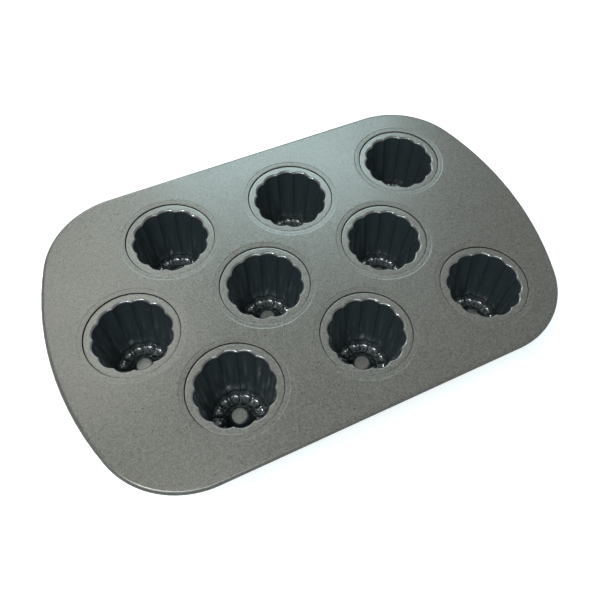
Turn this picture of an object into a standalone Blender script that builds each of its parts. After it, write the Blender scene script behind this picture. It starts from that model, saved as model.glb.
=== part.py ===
"""Nine-cup canele pan of coated sheet steel.

Nine deep-drawn fluted cups are seamed into a pressed deck, and the deck's edge is
rolled round a stiffening wire. Metres, +Z up. The pan stands on the bottoms of its
cups at z = 0, the middle of its deck is above the origin, and its length runs
along X with the back row of cups towards +Y.
"""
import math
from typing import NamedTuple

import bmesh
import bpy
from mathutils import Vector

# Sheet metal
DECK_SHEET = 0.0008
CUP_SHEET = 0.0008
SEAM_CLEARANCE = 0.0003

# Cup body, measured on its inner skin
CUP_DEPTH = 0.0560
FLUTE_COUNT = 12
THROAT_RADIUS = 0.0282
THROAT_FLUTE_DEPTH = 0.0018
BASE_RADIUS = 0.0192
BASE_FLUTE_DEPTH = 0.0014
FLOOR_FILLET = 0.0040
TROUGH_WIDTH = 0.0025
BOSS_RADIUS = 0.0063
BOSS_HEIGHT = 0.0055

# Cup lip and the flat land round it
LIP_FOLD = 0.0006
LAND_WIDTH = 0.0030
LAND_DROP = 0.0010

# Seam between a cup and the deck
DISH_WIDTH = 0.0033
DISH_DEPTH = 0.0005
COLLAR_DEPTH = 0.0040

# Cup layout: webs of flat deck between neighbouring dishes
ROW_WEB = 0.0244
DIAGONAL_WEB = 0.0082
CUPS_PER_ROW = 3
OUTER_ROW_SHIFT = 0.0180

# Turn of each cup about its own axis, in degrees, left to right in each row
BACK_ROW_TURNS = (4.8, 0.6, -0.2)
MIDDLE_ROW_TURNS = (-14.6, -13.9, 8.4)
FRONT_ROW_TURNS = (6.4, 11.0, -12.8)

# Deck outline: straight long sides, bowed ends and round corners
END_MARGIN = 0.0186
SIDE_MARGIN = 0.0187
CORNER_RADIUS = 0.0645
END_RADIUS = 0.2407

# Rolled edge and the wire inside it
WIRE_RADIUS = 0.0014
WIRE_CLEARANCE = 0.0003
ROLL_SWEEP = math.radians(300.0)

# Facets
POINTS_PER_FLUTE = 3
SEAM_POINTS = 24
FILLET_STEPS = 2
LIP_STEPS = 2
CORNER_STEPS = 8
END_STEPS = 6
ROLL_STEPS = 10
WIRE_BEVEL_STEPS = 2
SHARP_ANGLE = math.radians(40.0)

# Sizes that follow from the ones above
LIP_RADIUS = LIP_FOLD + CUP_SHEET
LAND_OUTER_RADIUS = THROAT_RADIUS + LIP_RADIUS + LAND_WIDTH
FLANGE_RADIUS = LAND_OUTER_RADIUS + CUP_SHEET
HOLE_RADIUS = FLANGE_RADIUS + SEAM_CLEARANCE
DISH_RADIUS = HOLE_RADIUS + DECK_SHEET + DISH_WIDTH
CUP_PITCH = 2.0 * DISH_RADIUS + ROW_WEB
ROW_PITCH = math.sqrt((2.0 * DISH_RADIUS + DIAGONAL_WEB) ** 2 - (0.5 * CUP_PITCH) ** 2)
DECK_HALF_WIDTH = ROW_PITCH + DISH_RADIUS + SIDE_MARGIN
MIDDLE_ROW_SHIFT = OUTER_ROW_SHIFT - 0.5 * CUP_PITCH
ROW_HALF_SPAN = 0.5 * (CUPS_PER_ROW - 1) * CUP_PITCH
DECK_HALF_LENGTH = ROW_HALF_SPAN - MIDDLE_ROW_SHIFT + DISH_RADIUS + END_MARGIN
DECK_TOP = CUP_DEPTH + CUP_SHEET
ROLL_RADIUS = WIRE_RADIUS + WIRE_CLEARANCE + DECK_SHEET
FLUTE_ANGLE = 2.0 * math.pi / FLUTE_COUNT


class CupPlace(NamedTuple):
    """Where one cup sits in the deck, and how far it is turned about its axis."""

    name: str
    x: float
    y: float
    turn: float


class EdgePoint(NamedTuple):
    """A point of the deck's outline, with the outward normal there."""

    x: float
    y: float
    normal_x: float
    normal_y: float


def cup_places():
    """Return the nine cup places: three rows, the middle one shifted half a pitch."""
    rows = (
        ("back", ROW_PITCH, OUTER_ROW_SHIFT, BACK_ROW_TURNS),
        ("middle", 0.0, MIDDLE_ROW_SHIFT, MIDDLE_ROW_TURNS),
        ("front", -ROW_PITCH, OUTER_ROW_SHIFT, FRONT_ROW_TURNS),
    )
    places = []
    for row_name, y, shift, turns in rows:
        for column, turn in enumerate(turns):
            x = shift - ROW_HALF_SPAN + column * CUP_PITCH
            places.append(CupPlace(f"cup_{row_name}_{column + 1}", x, y, math.radians(turn)))
    return places


def circle(radius, z, count, turn=0.0, centre=(0.0, 0.0)):
    """Return count points round a level circle."""
    points = []
    for index in range(count):
        angle = turn + 2.0 * math.pi * index / count
        x = centre[0] + radius * math.cos(angle)
        y = centre[1] + radius * math.sin(angle)
        points.append(Vector((x, y, z)))
    return points


def fluted_ring(crest_radius, flute_depth, z):
    """Return a level ring of outward arcs that meet in inward ridges."""
    ridge_radius = crest_radius - flute_depth
    half_chord = ridge_radius * math.sin(0.5 * FLUTE_ANGLE)
    chord_distance = ridge_radius * math.cos(0.5 * FLUTE_ANGLE)
    rise = crest_radius - chord_distance
    arc_radius = (half_chord ** 2 + rise ** 2) / (2.0 * rise)
    arc_centre = crest_radius - arc_radius
    half_sweep = math.atan2(half_chord, chord_distance - arc_centre)
    points = []
    for flute in range(FLUTE_COUNT):
        middle = (flute + 0.5) * FLUTE_ANGLE
        for step in range(POINTS_PER_FLUTE):
            sweep = half_sweep * (2.0 * step / POINTS_PER_FLUTE - 1.0)
            along = arc_centre + arc_radius * math.cos(sweep)
            across = arc_radius * math.sin(sweep)
            x = along * math.cos(middle) - across * math.sin(middle)
            y = along * math.sin(middle) + across * math.cos(middle)
            points.append(Vector((x, y, z)))
    return points


def add_loop(mesh, points):
    """Add a vertex at each point and return them in order round their loop."""
    return [mesh.verts.new(point) for point in points]


def skin_loops(mesh, loops):
    """Join each loop to the next one, point by point, with a band of faces."""
    for lower, upper in zip(loops, loops[1:]):
        for index in range(len(lower)):
            mesh.faces.new((lower[index - 1], lower[index], upper[index], upper[index - 1]))


def fill_level(mesh, loops):
    """Fill the level area that the loops bound, leaving the inner ones open."""
    edges = [mesh.edges.get((loop[index - 1], loop[index]))
             for loop in loops for index in range(len(loop))]
    bmesh.ops.triangle_fill(mesh, use_beauty=True, use_dissolve=False, edges=edges,
                            normal=(0.0, 0.0, 1.0))


def finish_mesh(mesh, name, material):
    """Turn a closed bmesh into mesh data with outward faces and smooth shading."""
    bmesh.ops.recalc_face_normals(mesh, faces=mesh.faces)
    bmesh.ops.triangulate(mesh, faces=mesh.faces)
    data = bpy.data.meshes.new(name)
    mesh.to_mesh(data)
    mesh.free()
    data.shade_smooth()
    data.set_sharp_from_angle(angle=SHARP_ANGLE)
    data.materials.append(material)
    return data


def make_material(name, colour, roughness, metallic):
    """Return a Principled material with a plain colour."""
    material = bpy.data.materials.new(name)
    material.use_nodes = True
    shader = material.node_tree.nodes["Principled BSDF"]
    shader.inputs["Base Color"].default_value = (*colour, 1.0)
    shader.inputs["Roughness"].default_value = roughness
    shader.inputs["Metallic"].default_value = metallic
    return material


def floor_and_wall_loops(mesh, floor_z, fillet, outset):
    """Add the fluted loops of one skin of the cup, from the floor's edge to the throat.

    The fillet is concentric on both skins, and outset moves the wall outwards.
    """
    wall_height = CUP_DEPTH - LAND_DROP - LIP_RADIUS
    draft = math.atan2(THROAT_RADIUS - BASE_RADIUS, wall_height)
    tangent = FLOOR_FILLET * math.tan(0.5 * (0.5 * math.pi - draft))
    fillet_centre_radius = BASE_RADIUS - tangent
    loops = []
    for step in range(FILLET_STEPS + 1):
        angle = (0.5 * math.pi - draft) * step / FILLET_STEPS
        radius = fillet_centre_radius + fillet * math.sin(angle)
        z = floor_z + fillet * (1.0 - math.cos(angle))
        flute_depth = BASE_FLUTE_DEPTH * math.sin(angle)
        if step == 0:
            ring = circle(radius, z, FLUTE_COUNT * POINTS_PER_FLUTE)
        else:
            ring = fluted_ring(radius, flute_depth, z)
        loops.append(add_loop(mesh, ring))
    throat_z = DECK_TOP - LAND_DROP - LIP_RADIUS
    throat = fluted_ring(THROAT_RADIUS + outset, THROAT_FLUTE_DEPTH, throat_z)
    loops.append(add_loop(mesh, throat))
    return loops, fillet_centre_radius


def build_cup_mesh(material):
    """Return the mesh of one cup: boss, trough, fluted wall, lip, land and seam hook."""
    mesh = bmesh.new()
    land_z = DECK_TOP - LAND_DROP

    # Inner skin of the wall, and the lip that rolls over on to the land
    inner, fillet_centre_radius = floor_and_wall_loops(mesh, CUP_SHEET, FLOOR_FILLET, 0.0)
    for step in range(1, LIP_STEPS + 1):
        angle = 0.5 * math.pi * step / LIP_STEPS
        radius = THROAT_RADIUS + LIP_RADIUS * (1.0 - math.cos(angle))
        z = land_z - LIP_RADIUS * (1.0 - math.sin(angle))
        inner.append(add_loop(mesh, fluted_ring(radius, THROAT_FLUTE_DEPTH, z)))
    skin_loops(mesh, inner)

    # Outer skin of the wall, ending in the tight inside of the lip
    outer, _ = floor_and_wall_loops(mesh, 0.0, FLOOR_FILLET + CUP_SHEET, CUP_SHEET)
    under_lip = fluted_ring(THROAT_RADIUS + LIP_RADIUS, THROAT_FLUTE_DEPTH, land_z - CUP_SHEET)
    outer.append(add_loop(mesh, under_lip))
    skin_loops(mesh, outer)

    # Seam hook: down past the deck's collar, under it and up again behind it
    hook_inner_radius = HOLE_RADIUS + DECK_SHEET + SEAM_CLEARANCE
    hook_outer_radius = hook_inner_radius + CUP_SHEET
    hook_floor_z = DECK_TOP - COLLAR_DEPTH - SEAM_CLEARANCE
    hook_top_z = DECK_TOP - DISH_DEPTH - DECK_SHEET - SEAM_CLEARANCE
    hook_profile = (
        (LAND_OUTER_RADIUS, land_z),
        (FLANGE_RADIUS, land_z - CUP_SHEET),
        (FLANGE_RADIUS, hook_floor_z),
        (hook_inner_radius, hook_floor_z),
        (hook_inner_radius, hook_top_z),
        (hook_outer_radius, hook_top_z),
        (hook_outer_radius, hook_floor_z - CUP_SHEET),
        (LAND_OUTER_RADIUS, hook_floor_z - CUP_SHEET),
        (LAND_OUTER_RADIUS, land_z - CUP_SHEET),
    )
    hook = [add_loop(mesh, circle(radius, z, SEAM_POINTS)) for radius, z in hook_profile]
    skin_loops(mesh, hook)
    fill_level(mesh, (inner[-1], hook[0]))
    fill_level(mesh, (outer[-1], hook[-1]))

    # Floor: a raised boss whose cone runs down to the trough
    foot_radius = fillet_centre_radius - TROUGH_WIDTH
    cone_angle = math.atan2(BOSS_HEIGHT, foot_radius - BOSS_RADIUS)
    under_shift = CUP_SHEET * math.tan(0.5 * cone_angle)
    for floor_z, shift, wall in ((CUP_SHEET, 0.0, inner), (0.0, under_shift, outer)):
        boss_top = circle(BOSS_RADIUS - shift, floor_z + BOSS_HEIGHT, FLUTE_COUNT)
        boss_foot = circle(foot_radius - shift, floor_z, FLUTE_COUNT)
        boss = [add_loop(mesh, boss_top), add_loop(mesh, boss_foot)]
        skin_loops(mesh, boss)
        fill_level(mesh, boss[:1])
        fill_level(mesh, (boss[1], wall[0]))
    return finish_mesh(mesh, "cup", material)


def deck_outline():
    """Return the deck's outline, anticlockwise, with its normals.

    Each end is an arc centred on the X axis, and each corner arc touches both the
    end arc and the straight long side.
    """
    end_centre = DECK_HALF_LENGTH - END_RADIUS
    corner_y = DECK_HALF_WIDTH - CORNER_RADIUS
    centre_gap = END_RADIUS - CORNER_RADIUS
    corner_x = end_centre + math.sqrt(centre_gap ** 2 - corner_y ** 2)
    meeting_angle = math.atan2(corner_y, corner_x - end_centre)
    right_end = []
    for step in range(END_STEPS + 1):
        angle = meeting_angle * (2.0 * step / END_STEPS - 1.0)
        right_end.append((end_centre, 0.0, END_RADIUS, angle))
    upper_corner = []
    for step in range(1, CORNER_STEPS + 1):
        angle = meeting_angle + (0.5 * math.pi - meeting_angle) * step / CORNER_STEPS
        upper_corner.append((corner_x, corner_y, CORNER_RADIUS, angle))
    lower_corner = [(x, -y, radius, -angle) for x, y, radius, angle in reversed(upper_corner)]
    right_half = lower_corner + right_end + upper_corner
    left_half = [(-x, -y, radius, angle + math.pi) for x, y, radius, angle in right_half]
    outline = []
    for x, y, radius, angle in right_half + left_half:
        normal_x = math.cos(angle)
        normal_y = math.sin(angle)
        outline.append(EdgePoint(x + radius * normal_x, y + radius * normal_y, normal_x, normal_y))
    return outline


def inset_outline(outline, inset, z):
    """Return the outline moved inwards along its normals, at one level."""
    return [Vector((point.x - inset * point.normal_x, point.y - inset * point.normal_y, z))
            for point in outline]


def roll_loops(mesh, outline, radius):
    """Add the loops of one skin of the rolled edge, from the deck over and under."""
    loops = []
    for step in range(ROLL_STEPS + 1):
        angle = 0.5 * math.pi - ROLL_SWEEP * step / ROLL_STEPS
        inset = ROLL_RADIUS - radius * math.cos(angle)
        z = DECK_TOP - ROLL_RADIUS + radius * math.sin(angle)
        loops.append(add_loop(mesh, inset_outline(outline, inset, z)))
    return loops


def build_deck(places, material):
    """Return the deck: flat sheet, rolled edge, and a dished and collared hole per cup."""
    mesh = bmesh.new()
    outline = deck_outline()
    outer_skin = roll_loops(mesh, outline, ROLL_RADIUS)
    inner_skin = roll_loops(mesh, outline, ROLL_RADIUS - DECK_SHEET)
    skin_loops(mesh, outer_skin)
    skin_loops(mesh, inner_skin)
    skin_loops(mesh, (outer_skin[-1], inner_skin[-1]))

    collar_radius = HOLE_RADIUS + DECK_SHEET
    dish_z = DECK_TOP - DISH_DEPTH
    collar_z = DECK_TOP - COLLAR_DEPTH
    hole_profile = (
        (DISH_RADIUS, DECK_TOP),
        (collar_radius, dish_z),
        (HOLE_RADIUS, dish_z - DECK_SHEET),
        (HOLE_RADIUS, collar_z),
        (collar_radius, collar_z),
        (collar_radius, dish_z - DECK_SHEET),
        (DISH_RADIUS, DECK_TOP - DECK_SHEET),
    )
    top_loops = [outer_skin[0]]
    under_loops = [inner_skin[0]]
    for place in places:
        centre = (place.x, place.y)
        hole = [add_loop(mesh, circle(radius, z, SEAM_POINTS, place.turn, centre))
                for radius, z in hole_profile]
        skin_loops(mesh, hole)
        top_loops.append(hole[0])
        under_loops.append(hole[-1])
    fill_level(mesh, top_loops)
    fill_level(mesh, under_loops)
    return bpy.data.objects.new("deck_sheet", finish_mesh(mesh, "deck_sheet", material))


def build_rim_wire(material):
    """Return the wire ring that the deck's edge is rolled round."""
    curve = bpy.data.curves.new("rim_wire", "CURVE")
    curve.dimensions = "3D"
    curve.bevel_depth = WIRE_RADIUS
    curve.bevel_resolution = WIRE_BEVEL_STEPS
    points = inset_outline(deck_outline(), ROLL_RADIUS, DECK_TOP - ROLL_RADIUS)
    spline = curve.splines.new("POLY")
    spline.points.add(len(points) - 1)
    for spline_point, point in zip(spline.points, points):
        spline_point.co = (*point, 1.0)
    spline.use_cyclic_u = True
    spline.use_smooth = True
    curve.materials.append(material)
    return bpy.data.objects.new("rim_wire", curve)


def main():
    """Build the pan's eleven pieces under one empty."""
    for old in list(bpy.data.objects):
        bpy.data.objects.remove(old, do_unlink=True)
    collection = bpy.context.scene.collection
    pan = bpy.data.objects.new("pan", None)
    collection.objects.link(pan)

    places = cup_places()
    deck_coating = make_material("deck_coating", (0.20, 0.20, 0.18), 0.45, 0.85)
    cup_coating = make_material("cup_coating", (0.05, 0.06, 0.06), 0.30, 0.85)
    wire_steel = make_material("wire_steel", (0.55, 0.55, 0.55), 0.35, 1.0)

    pieces = [build_deck(places, deck_coating), build_rim_wire(wire_steel)]
    cup_mesh = build_cup_mesh(cup_coating)
    for place in places:
        cup = bpy.data.objects.new(place.name, cup_mesh)
        cup.location = (place.x, place.y, 0.0)
        cup.rotation_euler = (0.0, 0.0, place.turn)
        pieces.append(cup)
    for piece in pieces:
        collection.objects.link(piece)
        piece.parent = pan


if __name__ == "__main__":
    main()
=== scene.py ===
"""Looks of a nine-cup canele pan in coated sheet steel.

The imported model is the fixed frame. Each piece of the pan is modelled again here at
the frame's own size, with the rounded bends, fluted walls and metallic coat of the
real pan, and stands for the plain solid of the same name.
"""

import logging
import math
from dataclasses import dataclass
from enum import Enum

import bmesh
import bpy
from bmesh.types import BMEdge, BMesh, BMVert
from bpy.types import Material, Mesh, Node, NodeSocket, NodeTree, Object
from mathutils import Matrix, Vector


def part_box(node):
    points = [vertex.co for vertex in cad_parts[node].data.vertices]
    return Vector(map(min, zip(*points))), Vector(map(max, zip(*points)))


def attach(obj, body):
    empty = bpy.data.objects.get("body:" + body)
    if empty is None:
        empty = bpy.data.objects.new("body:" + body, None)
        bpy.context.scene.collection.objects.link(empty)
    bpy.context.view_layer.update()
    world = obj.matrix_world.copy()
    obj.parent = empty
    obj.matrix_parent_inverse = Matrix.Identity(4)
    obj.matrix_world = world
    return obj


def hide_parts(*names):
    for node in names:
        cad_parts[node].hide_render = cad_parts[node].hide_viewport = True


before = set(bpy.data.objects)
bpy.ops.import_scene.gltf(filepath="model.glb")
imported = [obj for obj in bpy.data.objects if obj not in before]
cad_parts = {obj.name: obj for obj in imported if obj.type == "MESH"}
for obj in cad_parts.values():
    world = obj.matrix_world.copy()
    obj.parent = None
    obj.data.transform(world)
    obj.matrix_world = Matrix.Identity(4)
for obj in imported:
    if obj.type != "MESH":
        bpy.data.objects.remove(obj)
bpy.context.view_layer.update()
LOG = logging.getLogger("canele_pan")

BODY = "root"
CUP_COLUMNS = (1, 2, 3)
DRAW_ATTRIBUTE = "draw_lines"
POLISH_ATTRIBUTE = "drawn_polish"
BURNISH_ATTRIBUTE = "burnish"
# The shade mask holds painted shade above 0 and painted light below 0.
SHADE_ATTRIBUTE = "painted_shade"
COAT_MASKS = (POLISH_ATTRIBUTE, BURNISH_ATTRIBUTE, SHADE_ATTRIBUTE)
MERGE_DISTANCE = 1e-6
FULL_TURN = 2.0 * math.pi
NOISE_MIDDLE = 0.5
UPWARD = Vector((0.0, 0.0, 1.0))
Colour = tuple[float, float, float]
Span = tuple[float, float]
WHITE: Colour = (1.0, 1.0, 1.0)


class Row(Enum):
    """The three rows of cups, as their nodes name them."""

    BACK = "back"
    MIDDLE = "middle"
    FRONT = "front"


class Slot(Enum):
    """The material slots' names."""

    DECK_COATING = "deck_coating"
    CUP_COATING = "cup_coating"
    WIRE_STEEL = "wire_steel"


class Section:
    """A sheet's section, drawn as a chain of edges that a sweep then carries round.

    The section has two coordinates: how far a point lies across from the section's
    origin, and its level. Corners are rounded when the drawing is finished.
    """

    def __init__(self, mesh: BMesh, place: Matrix, across: float, z: float) -> None:
        """Start the chain.

        Args:
            mesh: The mesh that gets the edges.
            place: Carries the section from the XZ plane to its place.
            across: The first point's offset.
            z: The first point's level.
        """
        self.mesh = mesh
        self.place = place
        self.pen: BMVert = mesh.verts.new(place @ Vector((across, 0.0, z)))
        self.corners: list[tuple[BMVert, float, int]] = []

    def line(self, across: float, z: float, radius: float = 0.0, steps: int = 4) -> "Section":
        """Draw a straight line to a corner.

        Args:
            across: The corner's offset.
            z: The corner's level.
            radius: The radius that rounds the corner, or 0 for a sharp one.
            steps: How many edges the rounding has.

        Returns:
            The section itself.
        """
        grown = bmesh.ops.extrude_vert_indiv(self.mesh, verts=[self.pen])
        self.pen = grown["verts"][0]
        self.pen.co = self.place @ Vector((across, 0.0, z))
        if radius > 0.0:
            self.corners.append((self.pen, radius, steps))
        return self

    def curl(self, across: float, z: float, angle: float, steps: int) -> "Section":
        """Draw an arc from the last point.

        Args:
            across: The arc centre's offset.
            z: The arc centre's level.
            angle: How far the arc turns, positive from the offset's axis to the level's.
            steps: How many edges the arc has.

        Returns:
            The section itself.
        """
        turned = bmesh.ops.spin(
            self.mesh, geom=[self.pen], cent=self.place @ Vector((across, 0.0, z)),
            axis=self.place.to_3x3() @ Vector((0.0, -1.0, 0.0)), angle=angle, steps=steps)
        self.pen = next(item for item in turned["geom_last"] if isinstance(item, BMVert))
        return self

    def finish(self) -> list[BMVert | BMEdge]:
        """Round the corners.

        Returns:
            The section's points and edges.
        """
        for corner, radius, steps in self.corners:
            first, second = (edge.other_vert(corner).co - corner.co for edge in corner.link_edges)
            setback = radius / math.tan(0.5 * first.angle(second))
            bmesh.ops.bevel(
                self.mesh, geom=[corner], offset=setback, offset_type="OFFSET", segments=steps,
                profile=0.5, affect="VERTICES", material=-1, clamp_overlap=False)
        wires = [edge for edge in self.mesh.edges if edge.is_wire]
        return wires + list({vert for edge in wires for vert in edge.verts})


def close_mesh(mesh: BMesh, name: str) -> Mesh:
    """Merge a swept shell's doubles, turn its faces outwards and make it mesh data.

    Args:
        mesh: The shell, which is freed.
        name: The mesh data's name.

    Returns:
        The mesh data, shaded smooth.
    """
    bmesh.ops.remove_doubles(mesh, verts=mesh.verts, dist=MERGE_DISTANCE)
    bmesh.ops.recalc_face_normals(mesh, faces=mesh.faces)
    data = bpy.data.meshes.new(name)
    mesh.to_mesh(data)
    mesh.free()
    data.shade_smooth()
    return data


def ease(value: float, low: float, high: float) -> float:
    """Return 0 at low and below, 1 at high and above, and a smooth curve between."""
    share = min(max((value - low) / (high - low), 0.0), 1.0)
    return share * share * (3.0 - 2.0 * share)


def cup_node(row: Row, column: int) -> str:
    """Return the name of a cup's node."""
    return f"cup_{row.value}_{column}"


def cup_axis(node: str) -> Vector:
    """Return the place of a cup's axis on the ground, from its node's box."""
    low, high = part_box(node)
    return Vector((0.5 * (low.x + high.x), 0.5 * (low.y + high.y), 0.0))


def add_piece(name: str, data: Mesh, material: Material, node: str) -> Object:
    """Put one finished piece in the scene in place of its plain node.

    Args:
        name: The piece's name.
        data: Its mesh, already in place.
        material: Its finish.
        node: The node that it stands for.

    Returns:
        The new object.
    """
    piece = bpy.data.objects.new(name, data)
    bpy.context.scene.collection.objects.link(piece)
    data.materials.clear()
    data.materials.append(material)
    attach(piece, BODY)
    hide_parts(node)
    LOG.info("%s stands for %s with %d faces", name, node, len(data.polygons))
    return piece


class Board:
    """Adds nodes to one node tree and joins their sockets."""

    def __init__(self, tree: NodeTree) -> None:
        """Keep the tree that the nodes go into."""
        self.tree = tree

    def add(self, kind: str, settings: dict[str, object] | None = None,
            **inputs: object) -> Node:
        """Add a node.

        Args:
            kind: The node's type.
            settings: The node's own properties.
            inputs: Values or sockets for its inputs, with _ for a space.

        Returns:
            The new node.
        """
        node = self.tree.nodes.new(kind)
        for name, value in (settings or {}).items():
            setattr(node, name, value)
        for name, value in inputs.items():
            self.feed(node, name.replace("_", " "), value)
        return node

    def feed(self, node: Node, name: str | int, value: object) -> None:
        """Give one input a value, or join it to another node's output.

        Args:
            node: The node.
            name: The input's name or number.
            value: The value, or the output's socket.
        """
        socket = node.inputs[name]
        if isinstance(value, NodeSocket):
            self.tree.links.new(value, socket)
        else:
            socket.default_value = value

    def math(self, operation: str, first: object, second: object = 0.0) -> NodeSocket:
        """Add a Math node.

        Args:
            operation: What it does.
            first: Its first value or socket.
            second: Its second value or socket.

        Returns:
            Its result.
        """
        node = self.add("ShaderNodeMath", {"operation": operation})
        self.feed(node, 0, first)
        self.feed(node, 1, second)
        return node.outputs[0]

    def remap(self, value: NodeSocket, low: float, high: float,
              to_low: float, to_high: float) -> NodeSocket:
        """Move a value smoothly from one range to another, and hold it inside that one.

        Args:
            value: The value.
            low: Where the first range starts.
            high: Where it ends.
            to_low: Where the second range starts.
            to_high: Where it ends.

        Returns:
            The moved value.
        """
        node = self.add("ShaderNodeMapRange", {"interpolation_type": "SMOOTHSTEP"},
                        Value=value, From_Min=low, From_Max=high,
                        To_Min=to_low, To_Max=to_high)
        return node.outputs["Result"]

    def mix(self, share: NodeSocket, first: object, second: object) -> NodeSocket:
        """Mix two values or two colours.

        Args:
            share: How much of the second the mixture has, from 0 to 1.
            first: The first of them, plain or as a socket.
            second: The second, which is plain and tells which of the two kinds they are.

        Returns:
            The mixture.
        """
        plain = isinstance(second, float)
        node = self.add("ShaderNodeMix", {"data_type": "FLOAT" if plain else "VECTOR"}, Factor=share)
        first_input, result = (2, 0) if plain else (4, 1)
        self.feed(node, first_input, first)
        self.feed(node, first_input + 1, second)
        return node.outputs[result]

    def scale(self, colour: object, factor: NodeSocket) -> NodeSocket:
        """Make a colour lighter or darker.

        Args:
            colour: The colour, plain or as a socket.
            factor: How many times as light it becomes.

        Returns:
            The new colour.
        """
        node = self.add("ShaderNodeVectorMath", {"operation": "SCALE"}, Scale=factor)
        self.feed(node, 0, colour)
        return node.outputs["Vector"]

    def mask(self, name: str) -> NodeSocket:
        """Return the value of one of the mesh's attributes."""
        return self.add("ShaderNodeAttribute", {"attribute_name": name}).outputs["Fac"]

    def noise(self, vector: NodeSocket, scale: object, detail: float,
              roughness: float = 0.5) -> NodeSocket:
        """Add a noise texture.

        Args:
            vector: Where it is read.
            scale: How fine it is, plain or as a socket.
            detail: How many finer layers it has.
            roughness: How strong the finer layers are.

        Returns:
            Its value.
        """
        node = self.add("ShaderNodeTexNoise", Vector=vector, Scale=scale,
                        Detail=detail, Roughness=roughness)
        return node.outputs["Fac"]


def new_group(name: str, inputs: dict[str, str],
              outputs: dict[str, str]) -> tuple[NodeTree, Node, Node]:
    """Start a shader node group.

    Args:
        name: The group's name.
        inputs: Socket type by input name.
        outputs: Socket type by output name.

    Returns:
        The group's tree, its input node and its output node.
    """
    tree = bpy.data.node_groups.new(name, "ShaderNodeTree")
    for direction, sockets in (("INPUT", inputs), ("OUTPUT", outputs)):
        for socket_name, socket_type in sockets.items():
            tree.interface.new_socket(socket_name, in_out=direction, socket_type=socket_type)
    return tree, tree.nodes.new("NodeGroupInput"), tree.nodes.new("NodeGroupOutput")


@dataclass(frozen=True)
class FlakeGrain:
    """The metallic coat's grain: fine flakes and dust, and soft mottling over them."""

    flake_share: float = 0.6
    dust_share: float = 0.9
    dust_scale: float = 0.55
    middle: float = 0.75
    gloss_share: float = 0.12

    def build(self) -> NodeTree:
        """Build the shader node group.

        Returns:
            The group. Tone is a factor round 1 for the colour, Gloss an amount to add to
            the roughness, and Height the grain's relief.
        """
        tree, given, wanted = new_group(
            "metallic_flake",
            {"Vector": "NodeSocketVector", "Flakes": "NodeSocketFloat",
             "Flake Contrast": "NodeSocketFloat", "Mottle": "NodeSocketFloat",
             "Mottle Contrast": "NodeSocketFloat"},
            {"Tone": "NodeSocketFloat", "Gloss": "NodeSocketFloat", "Height": "NodeSocketFloat"})
        board = Board(tree)
        vector = given.outputs["Vector"]
        flakes = given.outputs["Flakes"]
        cells = board.add("ShaderNodeTexVoronoi", Vector=vector, Scale=flakes, Randomness=1.0)
        flake = board.add("ShaderNodeSeparateColor", Color=cells.outputs["Color"]).outputs["Red"]
        dust = board.noise(vector, board.math("MULTIPLY", flakes, self.dust_scale),
                           detail=2.0, roughness=0.7)
        grain = board.math("ADD", board.math("MULTIPLY", flake, self.flake_share),
                           board.math("MULTIPLY", dust, self.dust_share))
        clouds = board.noise(vector, given.outputs["Mottle"], detail=3.0, roughness=0.6)
        fine = board.math("SUBTRACT", grain, self.middle)
        soft = board.math("SUBTRACT", clouds, NOISE_MIDDLE)
        shift = board.math("ADD", board.math("MULTIPLY", fine, given.outputs["Flake Contrast"]),
                           board.math("MULTIPLY", soft, given.outputs["Mottle Contrast"]))
        board.feed(wanted, "Tone", board.math("ADD", shift, 1.0))
        board.feed(wanted, "Gloss", board.math("MULTIPLY", board.math("ADD", fine, soft),
                                               self.gloss_share))
        board.feed(wanted, "Height", grain)
        return tree


@dataclass(frozen=True)
class HandlingMarks:
    """The marks of use: soft wiped patches and sparse hair scratches."""

    haze_span: Span = (0.42, 0.68)
    scratch_span: Span = (0.735, 0.76)
    strokes: tuple[tuple[float, float], ...] = ((0.5, 34.0), (-0.9, 46.0), (1.9, 58.0))

    def build(self) -> NodeTree:
        """Build the shader node group, with each stroke's turn and stretch.

        Returns:
            The group. Haze is a mask of wiped patches and Scratch a mask of fine lines.
        """
        tree, given, wanted = new_group(
            "handling_marks",
            {"Vector": "NodeSocketVector", "Patch": "NodeSocketFloat", "Stroke": "NodeSocketFloat"},
            {"Haze": "NodeSocketFloat", "Scratch": "NodeSocketFloat"})
        board = Board(tree)
        vector = given.outputs["Vector"]
        patches = board.noise(vector, given.outputs["Patch"], detail=4.0, roughness=0.55)
        board.feed(wanted, "Haze", board.remap(patches, *self.haze_span, 0.0, 1.0))
        scratch = None
        for turn, stretch in self.strokes:
            mapping = board.add("ShaderNodeMapping", Vector=vector, Rotation=(0.0, 0.0, turn),
                                Scale=(1.0, stretch, 1.0))
            lines = board.noise(mapping.outputs["Vector"], given.outputs["Stroke"], detail=1.0)
            line = board.remap(lines, *self.scratch_span, 0.0, 1.0)
            scratch = line if scratch is None else board.math("MAXIMUM", scratch, line)
        board.feed(wanted, "Scratch", scratch)
        return tree


@dataclass(frozen=True)
class Drawing:
    """How a coat changes where its sheet is drawn, which the mesh's masks lead.

    The polish covers the drawn stretch and the burnish the bright bends in it. The
    painted shade darkens the ridges and the floor, and painted light lightens the land and
    the boss's top. Fine lines run along the draw.
    """

    colour: Colour
    roughness: float
    clear_weight: float
    grain: float
    burnished_colour: Colour
    burnished_roughness: float
    burnished_clear_weight: float
    painted_shade_depth: float
    line_depth: float
    line_gloss: float
    line_scale: float = 11.0

    def lines(self, board: Board) -> NodeSocket:
        """Draw the fine lines along the draw.

        Args:
            board: The material's nodes.

        Returns:
            Their value, round 0.
        """
        drawn = board.add("ShaderNodeAttribute", {"attribute_name": DRAW_ATTRIBUTE})
        lines = board.noise(drawn.outputs["Vector"], self.line_scale, detail=3.0, roughness=0.65)
        return board.math("SUBTRACT", lines, NOISE_MIDDLE)


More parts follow.
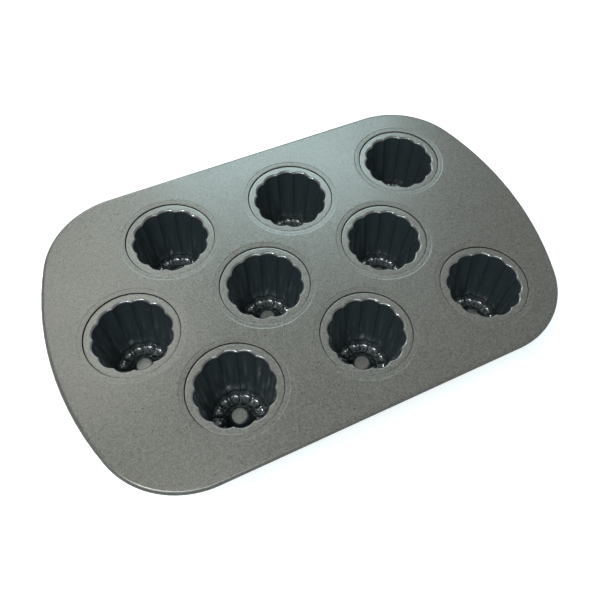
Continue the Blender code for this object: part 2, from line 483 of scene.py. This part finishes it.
@dataclass(frozen=True)
class MetallicCoat:
    """A grey non-stick coat with metal flakes in it, under a thin clear layer."""

    name: str
    colour: Colour
    relief: float
    haze: float
    clear_weight: float
    clear_roughness: float
    clear_ior: float = 1.5
    drawing: Drawing | None = None
    roughness: float = 0.32
    metallic: float = 0.60
    flake_contrast: float = 1.00
    mottle_contrast: float = 0.20
    flakes_per_metre: float = 1650.0
    mottles_per_metre: float = 260.0
    patches_per_metre: float = 22.0
    strokes_per_metre: float = 9.0
    scratch_share: float = 0.5

    def make(self, flake_group: NodeTree, handling_group: NodeTree) -> Material:
        """Build the material.

        Args:
            flake_group: The coat's grain.
            handling_group: The marks of use.

        Returns:
            The finished material.
        """
        material = bpy.data.materials.new(self.name)
        material.use_nodes = True
        board = Board(material.node_tree)
        shader = material.node_tree.nodes["Principled BSDF"]
        for name, value in (("Metallic", self.metallic), ("Coat Weight", self.clear_weight),
                            ("Coat Roughness", self.clear_roughness), ("Coat IOR", self.clear_ior)):
            board.feed(shader, name, value)
        place = board.add("ShaderNodeTexCoord").outputs["Object"]
        flake = board.add("ShaderNodeGroup", {"node_tree": flake_group}, Vector=place,
                          Flakes=self.flakes_per_metre, Mottle=self.mottles_per_metre,
                          Flake_Contrast=self.flake_contrast, Mottle_Contrast=self.mottle_contrast)
        marks = board.add("ShaderNodeGroup", {"node_tree": handling_group}, Vector=place,
                          Patch=self.patches_per_metre, Stroke=self.strokes_per_metre)
        scratches = board.math("MULTIPLY", marks.outputs["Scratch"], self.scratch_share)
        wiped = board.math("SUBTRACT", marks.outputs["Haze"], scratches)
        wear = board.math("MULTIPLY", wiped, self.haze)
        if self.drawing:
            self._cover_drawn(board, shader, flake, wear)
        else:
            rough = board.math("ADD", board.math("ADD", flake.outputs["Gloss"], wear), self.roughness)
            self._cover(board, shader, board.scale(self.colour, flake.outputs["Tone"]), rough,
                        flake.outputs["Height"])
        return material

    def _cover(self, board: Board, shader: Node, colour: NodeSocket, rough: NodeSocket,
               height: NodeSocket) -> None:
        """Feed the shader what changes over every coat.

        Args:
            board: The material's nodes.
            shader: The shader that they feed.
            colour: The coat's colour.
            rough: Its roughness.
            height: The height of its grain.
        """
        board.feed(shader, "Base Color", colour)
        board.feed(shader, "Roughness", rough)
        bump = board.add("ShaderNodeBump", Strength=1.0, Distance=self.relief, Height=height)
        board.feed(shader, "Normal", bump.outputs["Normal"])

    def _cover_drawn(self, board: Board, shader: Node, flake: Node, wear: NodeSocket) -> None:
        """Feed the shader a coat that changes where the sheet is drawn, with painted shade and painted
        light from the shade mask.

        Args:
            board: The material's nodes.
            shader: The shader that they feed.
            flake: The grain, which fades where the sheet is drawn.
            wear: What the marks of use add to the roughness.
        """
        drawing = self.drawing
        polish, burnish, shade = (board.mask(name) for name in COAT_MASKS)
        lines = drawing.lines(board)
        # Painted shade and painted light: the shade mask darkens or lightens the colour and the clear
        # layer.
        light = board.math("SUBTRACT", 1.0, board.math("MULTIPLY", shade, drawing.painted_shade_depth))
        kept = board.mix(polish, 1.0, drawing.grain)
        board.feed(flake, "Flake Contrast", board.math("MULTIPLY", kept, self.flake_contrast))
        board.feed(flake, "Mottle Contrast", board.math("MULTIPLY", kept, self.mottle_contrast))
        tone = board.math("ADD", board.math("MULTIPLY", light, flake.outputs["Tone"]),
                          board.math("MULTIPLY", lines, drawing.line_depth))
        gloss = board.math("ADD", board.math("MULTIPLY", kept, flake.outputs["Gloss"]),
                           board.math("MULTIPLY", lines, drawing.line_gloss))
        colour = board.mix(burnish, board.mix(polish, self.colour, drawing.colour),
                           drawing.burnished_colour)
        base = board.mix(polish, self.roughness, drawing.roughness)
        rough = board.math("ADD", board.math("ADD", gloss, wear), base)
        clear = board.mix(burnish, board.mix(polish, self.clear_weight, drawing.clear_weight),
                          drawing.burnished_clear_weight)
        board.feed(shader, "Coat Weight", board.math("MULTIPLY", clear, light))
        self._cover(board, shader, board.scale(colour, tone),
                    board.mix(burnish, rough, drawing.burnished_roughness),
                    board.math("MULTIPLY", kept, flake.outputs["Height"]))


@dataclass(frozen=True)
class DrawnWire:
    """Bright drawn steel wire, with fine flecks."""

    name: str = "drawn_wire"
    colour: Colour = (0.50, 0.50, 0.51)
    flecks_per_metre: float = 900.0
    fleck_span: Span = (0.3, 0.7)
    tone_span: Span = (0.85, 1.1)
    roughness_span: Span = (0.26, 0.40)

    def make(self) -> Material:
        """Build the material.

        Returns:
            The finished material.
        """
        material = bpy.data.materials.new(self.name)
        material.use_nodes = True
        board = Board(material.node_tree)
        shader = material.node_tree.nodes["Principled BSDF"]
        place = board.add("ShaderNodeTexCoord").outputs["Object"]
        fleck = board.noise(place, self.flecks_per_metre, detail=2.0, roughness=0.6)
        tone = board.remap(fleck, *self.fleck_span, *self.tone_span)
        board.feed(shader, "Base Color", board.scale(self.colour, tone))
        board.feed(shader, "Roughness", board.remap(fleck, *self.fleck_span, *self.roughness_span))
        board.feed(shader, "Metallic", 1.0)
        return material


@dataclass(frozen=True)
class SeamSizes:
    """The hooked seam between a cup and the deck, which both pieces are made to."""

    sheet: float = 0.0008
    clearance: float = 0.0004
    flange_radius: float = 0.0333
    dish_width: float = 0.0033
    dish_depth: float = 0.00012
    dish_step: float = 0.0008
    collar_depth: float = 0.0040

    @property
    def hole_radius(self) -> float:
        """Inner radius of the deck's collar."""
        return self.flange_radius + self.clearance

    @property
    def collar_radius(self) -> float:
        """Outer radius of the deck's collar."""
        return self.hole_radius + self.sheet

    @property
    def dish_radius(self) -> float:
        """Radius at which the deck starts to dip towards the seam."""
        return self.collar_radius + self.dish_width


@dataclass
class FlutedCup:
    """One deep-drawn cup: boss, fluted wall, rounded lip, land and hooked flange."""

    seam: SeamSizes
    deck_top: float

    # Form
    land_drop: float = 0.0009
    flutes: int = 12
    throat_radius: float = 0.0281
    throat_flute: float = 0.0019
    base_radius: float = 0.0203
    base_flute: float = 0.0018
    boss_radius: float = 0.0063
    boss_height: float = 0.0070
    boss_foot: float = 0.0128
    seat_shift: tuple[float, float] = (0.00007, -0.00013)

    # Radii of its roundings
    ridge_softness: float = 0.0002
    foot_softness: float = 0.0011
    floor_fillet: float = 0.0048
    boss_round: float = 0.0030
    lip_radius: float = 0.0020
    land_edge: float = 0.0003
    hook_edge: float = 0.0003
    hook_mouth: float = 0.0001
    hook_bend: float = 0.0010

    # Radii between which the flutes fade out
    floor_fade: Span = (0.0110, 0.0138)
    land_fade: Span = (0.0298, 0.0316)
    under_fade_shift: float = 0.0006

    # Radii, heights or depths between which the coat changes; the last pair are radii below which the
    # cup's floor gets painted shade
    lip_polish: Span = (0.0287, 0.0290)
    boss_polish: Span = (0.0048, 0.0058)
    foot_burnish: Span = (0.0056, 0.0072)
    lip_burnish: Span = (0.0021, 0.0025)
    land_burnish: Span = (0.0289, 0.0292)
    floor_painted_shade: Span = (0.0168, 0.0186)

    # Bearing from a ridge, in radians, over which its painted dark line of shade ends
    ridge_painted_shade: Span = (0.006, 0.028)

    # Painted light on the two flats, the land and the boss's top, which it makes lighter
    land_painted_light: float = -0.30
    boss_painted_light: float = -1.10

    # Fineness of the mesh
    steps_per_flute: int = 16
    ridge_crowding: float = 0.75
    draw_line_pitch: float = 0.05
    floor_steps: int = 20
    lip_steps: int = 10
    boss_steps: int = 8
    under_boss_steps: int = 6
    bend_steps: int = 5
    edge_steps: int = 3
    mouth_steps: int = 2

    @property
    def land(self) -> float:
        """Level of the land."""
        return self.deck_top - self.land_drop

    @property
    def lean(self) -> float:
        """How far the wall leans out for each metre that it rises."""
        return (self.throat_radius - self.base_radius) / (self.land - self.seam.sheet)

    def _draw_section(self, mesh: BMesh) -> list[BMVert | BMEdge]:
        """Draw the cup's section, from its floor's middle out, over and back under it.

        Args:
            mesh: The mesh that gets it.

        Returns:
            The section's points and edges.
        """
        seam = self.seam
        sheet = seam.sheet
        land = self.land
        hook_in = seam.collar_radius + seam.clearance
        hook_floor = self.deck_top - seam.collar_depth - seam.clearance
        hook_top = self.deck_top - seam.dish_depth - sheet - seam.clearance
        flange_in = seam.flange_radius - sheet
        cone = math.atan2(self.boss_height, self.boss_foot - self.boss_radius)
        under = sheet * math.tan(0.5 * cone)
        middle = 0.5 * (self.base_radius + self.throat_radius)
        half_way = 0.5 * (land + sheet)
        lip_shallow, lip_deep = self.lip_burnish
        fade_in, fade_out = self.land_fade
        section = Section(mesh, Matrix.Identity(4), 0.0, sheet + self.boss_height)
        section.line(self.boss_radius, sheet + self.boss_height, self.boss_round, self.boss_steps)
        section.line(self.boss_foot, sheet, self.boss_round, self.boss_steps)
        section.line(self.base_radius, sheet, self.floor_fillet, self.floor_steps)
        for level in (*self.foot_burnish, half_way, land - lip_deep, land - lip_shallow):
            section.line(self.base_radius + self.lean * (level - sheet), level)
        section.line(self.throat_radius, land, self.lip_radius, self.lip_steps)
        section.line(fade_in, land).line(0.5 * (fade_in + fade_out), land).line(fade_out, land)
        section.line(seam.flange_radius, land, self.land_edge, self.bend_steps)
        section.line(seam.flange_radius, hook_floor, self.hook_edge, self.edge_steps)
        section.line(hook_in, hook_floor, self.hook_edge, self.edge_steps)
        section.line(hook_in, hook_top, self.hook_mouth, self.mouth_steps)
        section.line(hook_in + sheet, hook_top, self.hook_edge, self.edge_steps)
        section.line(hook_in + sheet, hook_floor - sheet, self.hook_bend, self.bend_steps)
        section.line(flange_in, hook_floor - sheet, self.hook_bend, self.bend_steps)
        section.line(flange_in, land - sheet, self.hook_edge, self.edge_steps)
        section.line(fade_out, land - sheet).line(fade_in + self.under_fade_shift, land - sheet)
        section.line(self.throat_radius + sheet, land - sheet, self.lip_radius - sheet, self.bend_steps)
        section.line(middle + sheet, half_way)
        section.line(self.base_radius + sheet, 0.0, self.floor_fillet + sheet, self.lip_steps)
        section.line(self.boss_foot - under, 0.0, self.boss_round + sheet,
                     self.under_boss_steps)
        section.line(self.boss_radius - under, self.boss_height, self.boss_round - sheet,
                     self.under_boss_steps)
        section.line(0.0, self.boss_height)
        return section.finish()

    @property
    def fillet_centre(self) -> tuple[float, float]:
        """Centre of the rounding between wall and floor.

        Returns:
            Its offset and its level.
        """
        level = self.seam.sheet + self.floor_fillet
        lean_angle = math.atan2(self.throat_radius - self.base_radius, self.land)
        corner = self.floor_fillet * math.tan(0.25 * math.pi - 0.5 * lean_angle)
        return self.base_radius - corner, level

    def _is_inside(self, radius: float, z: float) -> bool:
        """Tell whether a point of the unpressed shell is on its inner face.

        Args:
            radius: The point's radius.
            z: Its level.

        Returns:
            True on the inner face, False on the outer one.
        """
        sheet = self.seam.sheet
        foot, level = self.fillet_centre
        if radius < foot:
            boss = (self.boss_foot - radius) / (self.boss_foot - self.boss_radius)
            return z > 0.5 * sheet + self.boss_height * min(max(boss, 0.0), 1.0)
        if z < level:
            return math.hypot(radius - foot, level - z) < self.floor_fillet + 0.5 * sheet
        wall = self.base_radius + self.lean * (z - sheet)
        return radius < wall + 0.5 * sheet or z > self.land - 0.5 * sheet

    def _flute_depth(self, radius: float, z: float) -> float:
        """Work out how far a ridge stands inside its crest.

        Args:
            radius: A point's radius in the unpressed shell.
            z: Its level.

        Returns:
            The depth at that point.
        """
        rise = min(max(z / self.deck_top, 0.0), 1.0)
        depth = self.base_flute + (self.throat_flute - self.base_flute) * rise
        return depth * ease(radius, *self.floor_fade) * (1.0 - ease(radius, *self.land_fade))

    def _pressed_radius(self, bearing: float, crest: float, depth: float, soft: float) -> float:
        """Work out the wall's radius, where outward arcs meet in soft ridges.

        Args:
            bearing: The bearing of a point, from any ridge.
            crest: The radius at a flute's crest.
            depth: How far a ridge stands inside it.
            soft: How wide the arcs blend where they meet.

        Returns:
            The radius on that bearing.
        """
        pitch = FULL_TURN / self.flutes
        ridge = crest - depth
        half_chord = ridge * math.sin(0.5 * pitch)
        rise = crest - ridge * math.cos(0.5 * pitch)
        arc = (half_chord ** 2 + rise ** 2) / (2.0 * rise)
        centre = crest - arc
        off_crest = abs((bearing % pitch) - 0.5 * pitch)
        own, next_one = (
            centre * math.cos(angle) + math.sqrt(max(arc ** 2 - (centre * math.sin(angle)) ** 2, 0.0))
            for angle in (off_crest, pitch - off_crest))
        soft *= min(1.0, depth / self.base_flute)
        return 0.5 * (own + next_one) + 0.5 * math.hypot(own - next_one, soft)

    def _coat_masks(self, radius: float, z: float, off_ridge: float) -> tuple[float, float, float]:
        """Return how far the coat is polished and burnished at a point, and how much painted shade and
        painted light it gets.

        Args:
            radius: The point's radius in the unpressed shell.
            z: Its level.
            off_ridge: How far its bearing lies from the nearest ridge's.

        Returns:
            The three masks. The shade is painted shade above 0 and painted light below 0.
        """
        if not self._is_inside(radius, z):
            return 0.0, 0.0, 0.0
        off_boss = ease(radius, *self.boss_polish)
        polish = off_boss * (1.0 - ease(radius, *self.lip_polish))
        plain_wall = ease(z, *self.foot_burnish) * ease(self.land - z, *self.lip_burnish)
        burnish = off_boss * (1.0 - ease(radius, *self.land_burnish)) * (1.0 - plain_wall)
        # Painted shade: a dark line down each ridge of the wall.
        painted_ridge_line = (1.0 - ease(off_ridge, *self.ridge_painted_shade)) * ease(z, *self.foot_burnish)
        # Painted shade: the cup's floor and bowls are darker inside the foot radius.
        dark = max(painted_ridge_line, 1.0 - ease(radius, *self.floor_painted_shade))
        # Painted light: the land and the boss's top are lighter.
        light = self.land_painted_light if radius > self.throat_radius else self.boss_painted_light
        return polish, burnish, polish * dark + (1.0 - polish) * light

    def _press_flutes(self, mesh: BMesh) -> None:
        """Press the flutes into the round shell, and mark where its coat changes and where shade and
        light are painted on it.

        The flutes are pressed square to the wall and to its rounding. The ridges run
        down the wall and over the rounding to the floor, and leave a bowl at the foot of
        each flute. The points crowd together at the ridges.

        Args:
            mesh: The round shell.
        """
        foot, level = self.fillet_centre
        for name in COAT_MASKS:
            mesh.verts.layers.float.new(name)
        layers = [mesh.verts.layers.float[name] for name in COAT_MASKS]
        pitch = FULL_TURN / self.flutes
        for vert in mesh.verts:
            radius = math.hypot(vert.co.x, vert.co.y)
            bearing = math.atan2(vert.co.y, vert.co.x)
            bearing -= self.ridge_crowding * math.sin(self.flutes * bearing) / self.flutes
            off_ridge = abs((bearing + 0.5 * pitch) % pitch - 0.5 * pitch)
            for layer, mask in zip(layers, self._coat_masks(radius, vert.co.z, off_ridge)):
                vert[layer] = mask
            depth = self._flute_depth(radius, vert.co.z)
            if depth > MERGE_DISTANCE:
                rise = ease(vert.co.z, level, 2.0 * level)
                soft = self.foot_softness + (self.ridge_softness - self.foot_softness) * rise
                press = max(radius - self._pressed_radius(bearing, radius, depth, soft), 0.0)
                inward = Vector((min(foot - radius, 0.0), max(level - vert.co.z, 0.0))).normalized()
                radius += press * inward.x
                vert.co.z += press * inward.y
            vert.co.x = radius * math.cos(bearing)
            vert.co.y = radius * math.sin(bearing)

    def press(self) -> Mesh:
        """Model one cup on the frame's own axis.

        Returns:
            The cup's mesh, with its coat's masks, painted shade and light among them, and an attribute
            that runs along the draw.
        """
        mesh = bmesh.new()
        section = self._draw_section(mesh)
        bmesh.ops.spin(mesh, geom=section, cent=Vector(), axis=UPWARD, angle=FULL_TURN,
                       steps=self.flutes * self.steps_per_flute, use_merge=True)
        self._press_flutes(mesh)
        data = close_mesh(mesh, "fluted_cup")
        lines = data.attributes.new(DRAW_ATTRIBUTE, "FLOAT_VECTOR", "POINT")
        for vert, line in zip(data.vertices, lines.data):
            outward = Vector((vert.co.x, vert.co.y)).normalized()
            line.vector = (outward.x, outward.y, self.draw_line_pitch * vert.co.z / self.deck_top)
        return data

    def dress(self, pressing: Mesh, row: Row, column: int, turn: float,
              material: Material) -> Object:
        """Set one cup in its hole in the deck.

        Args:
            pressing: The mesh of a cup on the frame's own axis.
            row: The cup's row.
            column: Its number in the row, from the left.
            turn: How far it is turned about its axis, in degrees.
            material: Its coat.

        Returns:
            The cup.
        """
        node = cup_node(row, column)
        data = pressing.copy()
        data.name = f"fluted_{node}"
        turned = Matrix.Rotation(math.radians(turn), 4, "Z")
        seat = cup_axis(node) + Vector((*self.seat_shift, 0.0))
        data.transform(Matrix.Translation(seat) @ turned)
        return add_piece(data.name, data, material, node)


@dataclass
class RimRun:
    """The run of the deck's edge: two straight sides, four round corners, two bowed ends."""

    half_length: float
    half_width: float
    top: float
    corner_radius: float = 0.0645
    end_radius: float = 0.2407
    corner_steps: int = 20
    end_steps: int = 14
    roll_radius: float = 0.0025

    @property
    def end_centre(self) -> float:
        """How far the right end's centre lies along X, on the left of the middle."""
        return self.half_length - self.end_radius

    @property
    def corner_centre(self) -> Vector:
        """Centre of the corner that has both coordinates positive.

        Returns:
            Its place on the ground.
        """
        y = self.half_width - self.corner_radius
        x = self.end_centre + math.sqrt((self.end_radius - self.corner_radius) ** 2 - y ** 2)
        return Vector((x, y, 0.0))

    @property
    def station(self) -> Matrix:
        """Carries a section to the front side's right end, where the run starts."""
        start = Vector((self.corner_centre.x, -self.half_width, self.top))
        return Matrix.Translation(start) @ Matrix.Rotation(0.5 * math.pi, 4, "Z")

    def sweep(self, mesh: BMesh, section: list[BMVert | BMEdge]) -> None:
        """Carry a section right round the deck's edge.

        Args:
            mesh: The mesh that holds the section.
            section: The section's points and edges, drawn at the run's station.
        """
        corner = self.corner_centre
        meeting = math.atan2(corner.y, corner.x - self.end_centre)
        ring = section
        for side in (1.0, -1.0):
            for x, y, angle, steps in (
                    (corner.x, -corner.y, 0.5 * math.pi - meeting, self.corner_steps),
                    (self.end_centre, 0.0, 2.0 * meeting, self.end_steps),
                    (corner.x, corner.y, 0.5 * math.pi - meeting, self.corner_steps)):
                turned = bmesh.ops.spin(mesh, geom=ring, cent=Vector((side * x, side * y, 0.0)),
                                        axis=UPWARD, angle=angle, steps=steps)
                ring = turned["geom_last"]
            grown = bmesh.ops.extrude_edge_only(
                mesh, edges=[item for item in ring if isinstance(item, BMEdge)])["geom"]
            moved = [item for item in grown if isinstance(item, BMVert)]
            bmesh.ops.translate(mesh, verts=moved, vec=Vector((-2.0 * side * corner.x, 0.0, 0.0)))
            ring = moved + [item for item in grown if isinstance(item, BMEdge)
                            and all(vert in set(moved) for vert in item.verts)]


@dataclass
class RimWire:
    """The wire ring that stiffens the deck's edge, inside the roll."""

    run: RimRun
    radius: float = 0.0014
    steps: int = 20

    def build(self) -> Mesh:
        """Model the ring.

        Returns:
            Its mesh.
        """
        mesh = bmesh.new()
        middle = self.run.roll_radius
        place = (self.run.station @ Matrix.Translation((middle, 0.0, -middle))
                 @ Matrix.Rotation(0.5 * math.pi, 4, "X"))
        bmesh.ops.create_circle(mesh, segments=self.steps, radius=self.radius, matrix=place)
        self.run.sweep(mesh, [*mesh.verts, *mesh.edges])
        return close_mesh(mesh, "rim_wire")

    def dress(self, material: Material) -> Object:
        """Build the ring, give it its finish and set it in the scene."""
        return add_piece("rolled_in_wire", self.build(), material, "rim_wire")


@dataclass
class DeckSheet:
    """The pressed deck: flat sheet, rolled edge, and a dished hole with a collar per cup."""

    seam: SeamSizes
    run: RimRun
    roll_sweep: float = math.radians(300.0)
    roll_steps: int = 30
    hole_steps: int = 144
    flat_margin: float = 0.0010
    edge_radius: float = 0.0002
    mouth_radius: float = 0.0002
    dish_bend: float = 0.0020
    collar_edge: float = 0.0003
    mouth_steps: int = 6
    bend_steps: int = 3
    under_steps: int = 2

    def _roll_edge(self, mesh: BMesh) -> None:
        """Sweep the edge: from the deck's top round the roll and back to its underside.

        Args:
            mesh: The mesh that gets it.
        """
        roll = self.run.roll_radius
        sheet = self.seam.sheet
        flat = roll + self.flat_margin
        section = Section(mesh, self.run.station, flat, 0.0)
        section.line(roll, 0.0)
        section.curl(roll, -roll, self.roll_sweep, self.roll_steps)
        outer_end = section.pen
        end = 0.5 * math.pi + self.roll_sweep
        section.line(roll + (roll - sheet) * math.cos(end), -roll + (roll - sheet) * math.sin(end))
        section.corners += [(end_corner, self.edge_radius, self.bend_steps)
                            for end_corner in (outer_end, section.pen)]
        section.curl(roll, -roll, -self.roll_sweep, self.roll_steps)
        section.line(flat, -sheet)
        self.run.sweep(mesh, section.finish())

    def _spin_hole(self) -> Mesh:
        """Spin a hole's edge on the frame's own axis.

        The section runs from the deck's top down the collar and back to its underside.

        Returns:
            The edge's mesh.
        """
        mesh = bmesh.new()
        seam = self.seam
        sheet = seam.sheet
        top = self.run.top
        dish = top - seam.dish_depth
        foot = top - seam.collar_depth
        outer = seam.dish_radius + self.flat_margin
        inner = seam.dish_radius - seam.dish_step
        section = Section(mesh, Matrix.Identity(4), outer, top)
        section.line(seam.dish_radius, top, self.dish_bend, self.bend_steps)
        section.line(inner, dish, self.dish_bend, self.bend_steps)
        section.line(seam.hole_radius, dish, self.mouth_radius, self.mouth_steps)
        section.line(seam.hole_radius, foot, self.collar_edge, self.bend_steps)
        section.line(seam.collar_radius, foot, self.collar_edge, self.bend_steps)
        section.line(seam.collar_radius, dish - sheet, self.edge_radius, self.under_steps)
        section.line(inner, dish - sheet, self.dish_bend, self.bend_steps)
        section.line(seam.dish_radius, top - sheet, self.dish_bend, self.bend_steps)
        section.line(outer, top - sheet)
        bmesh.ops.spin(mesh, geom=section.finish(), cent=Vector(), axis=UPWARD, angle=FULL_TURN,
                       steps=self.hole_steps, use_merge=True)
        return close_mesh(mesh, "hole")

    def build(self) -> Mesh:
        """Model the deck.

        Returns:
            Its mesh.
        """
        mesh = bmesh.new()
        self._roll_edge(mesh)
        hole = self._spin_hole()
        for row in Row:
            for column in CUP_COLUMNS:
                placed = hole.copy()
                placed.transform(Matrix.Translation(cup_axis(cup_node(row, column))))
                mesh.from_mesh(placed)
                bpy.data.meshes.remove(placed)
        bpy.data.meshes.remove(hole)
        bmesh.ops.remove_doubles(mesh, verts=mesh.verts, dist=MERGE_DISTANCE)
        open_edges = [edge for edge in mesh.edges if edge.is_boundary]
        split = self.run.top - 0.5 * self.seam.sheet
        for upper in (True, False):
            level = [edge for edge in open_edges if (edge.verts[0].co.z > split) == upper]
            bmesh.ops.triangle_fill(mesh, use_beauty=True, edges=level, normal=UPWARD)
        return close_mesh(mesh, "deck_sheet")

    def dress(self, material: Material) -> Object:
        """Build the deck, give it its coat and set it in the scene."""
        return add_piece("pressed_deck", self.build(), material, "deck_sheet")


@dataclass(frozen=True)
class PhotoCamera:
    """The camera of the photograph, in the frame's metres and the picture's pixels."""

    position: tuple[float, float, float] = (-0.12716, -0.26949, 0.51132)
    azimuth_degrees: float = 30.98
    down_degrees: float = 54.65
    roll_degrees: float = 5.62
    focal_px: float = 721.6
    middle_px: tuple[float, float] = (346.6, 244.6)
    picture_px: float = 600.0
    sensor_mm: float = 36.0
    nearest: float = 0.01

    def build(self) -> Object:
        """Make the camera, and have the scene use it.

        Returns:
            The camera.
        """
        data = bpy.data.cameras.new("photo_camera")
        data.sensor_width = self.sensor_mm
        data.lens = self.sensor_mm * self.focal_px / self.picture_px
        data.shift_x = 0.5 - self.middle_px[0] / self.picture_px
        data.shift_y = self.middle_px[1] / self.picture_px - 0.5
        data.clip_start = self.nearest
        azimuth = math.radians(self.azimuth_degrees)
        down = math.radians(self.down_degrees)
        roll = math.radians(self.roll_degrees)
        forward = Vector((math.sin(azimuth) * math.cos(down),
                          math.cos(azimuth) * math.cos(down), -math.sin(down)))
        level = Vector((math.cos(azimuth), -math.sin(azimuth), 0.0))
        upright = level.cross(forward)
        right = level * math.cos(roll) + upright * math.sin(roll)
        up = upright * math.cos(roll) - level * math.sin(roll)
        turn = Matrix((right, up, -forward)).transposed().to_4x4()
        camera = bpy.data.objects.new("photo_camera", data)
        camera.matrix_world = Matrix.Translation(Vector(self.position)) @ turn
        bpy.context.scene.collection.objects.link(camera)
        bpy.context.scene.camera = camera
        return camera


@dataclass(frozen=True)
class Softbox:
    """A rectangular lamp that faces the middle of the pan."""

    name: str
    azimuth_degrees: float
    height_degrees: float
    distance: float
    width: float
    height: float
    watts: float
    colour: Colour = WHITE

    def build(self) -> Object:
        """Make the lamp and turn it to the pan.

        Returns:
            The lamp.
        """
        data = bpy.data.lights.new(self.name, "AREA")
        data.shape = "RECTANGLE"
        data.size = self.width
        data.size_y = self.height
        data.energy = self.watts
        data.color = self.colour
        lamp = bpy.data.objects.new(self.name, data)
        away = (Matrix.Rotation(-math.radians(self.azimuth_degrees), 3, "Z")
                @ Matrix.Rotation(math.radians(self.height_degrees), 3, "X") @ Vector((0.0, 1.0, 0.0)))
        lamp.location = away * self.distance
        lamp.rotation_euler = away.to_track_quat("Z", "Y").to_euler()
        bpy.context.scene.collection.objects.link(lamp)
        return lamp


@dataclass(frozen=True)
class Studio:
    """A pale floor, a white surround and soft lamps."""

    floor_size: float = 6.0
    floor_shade: float = 0.80
    floor_lift: float = 0.60
    floor_roughness: float = 0.9
    ambient: float = 0.20
    ambient_colour: Colour = (0.62, 0.90, 1.00)
    lamps: tuple[Softbox, ...] = (
        Softbox("key_lamp", -110.0, 57.0, 1.20, 0.13, 0.13, 4.6),
        Softbox("rear_softbox", -140.0, 58.0, 1.30, 1.00, 0.40, 10.5, (0.86, 1.0, 1.0)),
        Softbox("ceiling_lamp", -40.0, 80.0, 1.20, 0.16, 0.16, 0.5),
        Softbox("left_glow", -18.0, 57.0, 1.30, 0.40, 0.40, 1.7, (0.97, 1.0, 0.96)),
        Softbox("right_glow", 42.0, 60.0, 1.30, 0.40, 0.40, 0.2),
        Softbox("low_glow", -4.0, 32.0, 1.30, 0.40, 0.40, 2.7, (0.94, 1.0, 0.98)),
        Softbox("back_window", 20.5, 46.0, 1.30, 0.60, 0.26, 3.8, (0.66, 0.92, 1.0)),
        Softbox("low_window", 22.0, 41.0, 1.30, 0.60, 0.26, 0.9, (0.66, 0.92, 1.0)),
    )

    def _build_world(self) -> None:
        """Make the surround white where it is seen or mirrored, and softer as a lamp."""
        world = bpy.data.worlds.new("white_surround")
        world.use_nodes = True
        bpy.context.scene.world = world
        board = Board(world.node_tree)
        background = world.node_tree.nodes["Background"]
        path = board.add("ShaderNodeLightPath")
        seen = board.math("MAXIMUM", path.outputs["Is Camera Ray"],
                          board.math("MAXIMUM", path.outputs["Is Glossy Ray"],
                                     path.outputs["Is Transmission Ray"]))
        board.feed(background, "Strength", board.mix(seen, self.ambient, 1.0))
        board.feed(background, "Color", board.mix(seen, self.ambient_colour, WHITE))

    def _build_floor(self) -> Object:
        """Make the floor under the pan, lifted towards white where the camera sees it.

        Returns:
            The floor.
        """
        mesh = bmesh.new()
        bmesh.ops.create_grid(mesh, x_segments=1, y_segments=1, size=0.5 * self.floor_size)
        data = bpy.data.meshes.new("floor")
        mesh.to_mesh(data)
        mesh.free()
        material = bpy.data.materials.new("pale_floor")
        material.use_nodes = True
        board = Board(material.node_tree)
        shader = material.node_tree.nodes["Principled BSDF"]
        board.feed(shader, "Base Color", (self.floor_shade,) * 3 + (1.0,))
        board.feed(shader, "Roughness", self.floor_roughness)
        board.feed(shader, "Specular IOR Level", 0.0)
        path = board.add("ShaderNodeLightPath")
        strength = board.math("MULTIPLY", path.outputs["Is Camera Ray"], self.floor_lift)
        lift = board.add("ShaderNodeEmission", Color=(*WHITE, 1.0), Strength=strength)
        total = board.add("ShaderNodeAddShader")
        board.feed(total, 0, shader.outputs["BSDF"])
        board.feed(total, 1, lift.outputs["Emission"])
        board.feed(material.node_tree.nodes["Material Output"], "Surface", total.outputs["Shader"])
        data.materials.append(material)
        floor = bpy.data.objects.new("floor", data)
        bpy.context.scene.collection.objects.link(floor)
        return floor

    def build(self) -> None:
        """Make the surround, the floor and the lamps."""
        self._build_world()
        self._build_floor()
        for lamp in self.lamps:
            lamp.build()
        bpy.context.scene.view_settings.view_transform = "Standard"


DECK_COAT = MetallicCoat(
    name="deck_coat", colour=(0.088, 0.086, 0.075), relief=0.00001, haze=0.04,
    clear_weight=0.25, clear_roughness=0.20)

CUP_COAT = MetallicCoat(
    name="cup_coat", colour=(0.088, 0.086, 0.076), relief=0.000004, haze=0.02,
    clear_weight=0.10, clear_roughness=0.17, clear_ior=1.9,
    drawing=Drawing(
        colour=(0.052, 0.070, 0.077), roughness=0.34, clear_weight=0.55, grain=0.15,
        burnished_colour=(0.062, 0.068, 0.070), burnished_roughness=0.08,
        # The depth of the painted shade and painted light on the cup's colour and clear layer.
        burnished_clear_weight=0.30, painted_shade_depth=0.45, line_depth=0.04, line_gloss=0.012))

CUP_TURNS = {
    Row.BACK: (4.8, 0.6, -0.2),
    Row.MIDDLE: (-14.6, -13.9, 8.4),
    Row.FRONT: (6.4, 11.0, -12.8),
}


def main() -> None:
    """Build the studio and the pan, piece by piece."""
    logging.basicConfig(level=logging.INFO, format="%(name)s: %(message)s")
    flake_group = FlakeGrain().build()
    handling_group = HandlingMarks().build()
    deck_coat = DECK_COAT.make(flake_group, handling_group)
    cup_coat = CUP_COAT.make(flake_group, handling_group)

    seam = SeamSizes()
    far_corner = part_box("deck_sheet")[1]
    run = RimRun(far_corner.x, far_corner.y, far_corner.z)
    DeckSheet(seam, run).dress(deck_coat)
    RimWire(run).dress(DrawnWire().make())
    cup = FlutedCup(seam, run.top)
    pressing = cup.press()
    for row, turns in CUP_TURNS.items():
        for column, turn in zip(CUP_COLUMNS, turns):
            cup.dress(pressing, row, column, turn, cup_coat)
    bpy.data.meshes.remove(pressing)

    Studio().build()
    PhotoCamera().build()


if __name__ == "__main__":
    main()
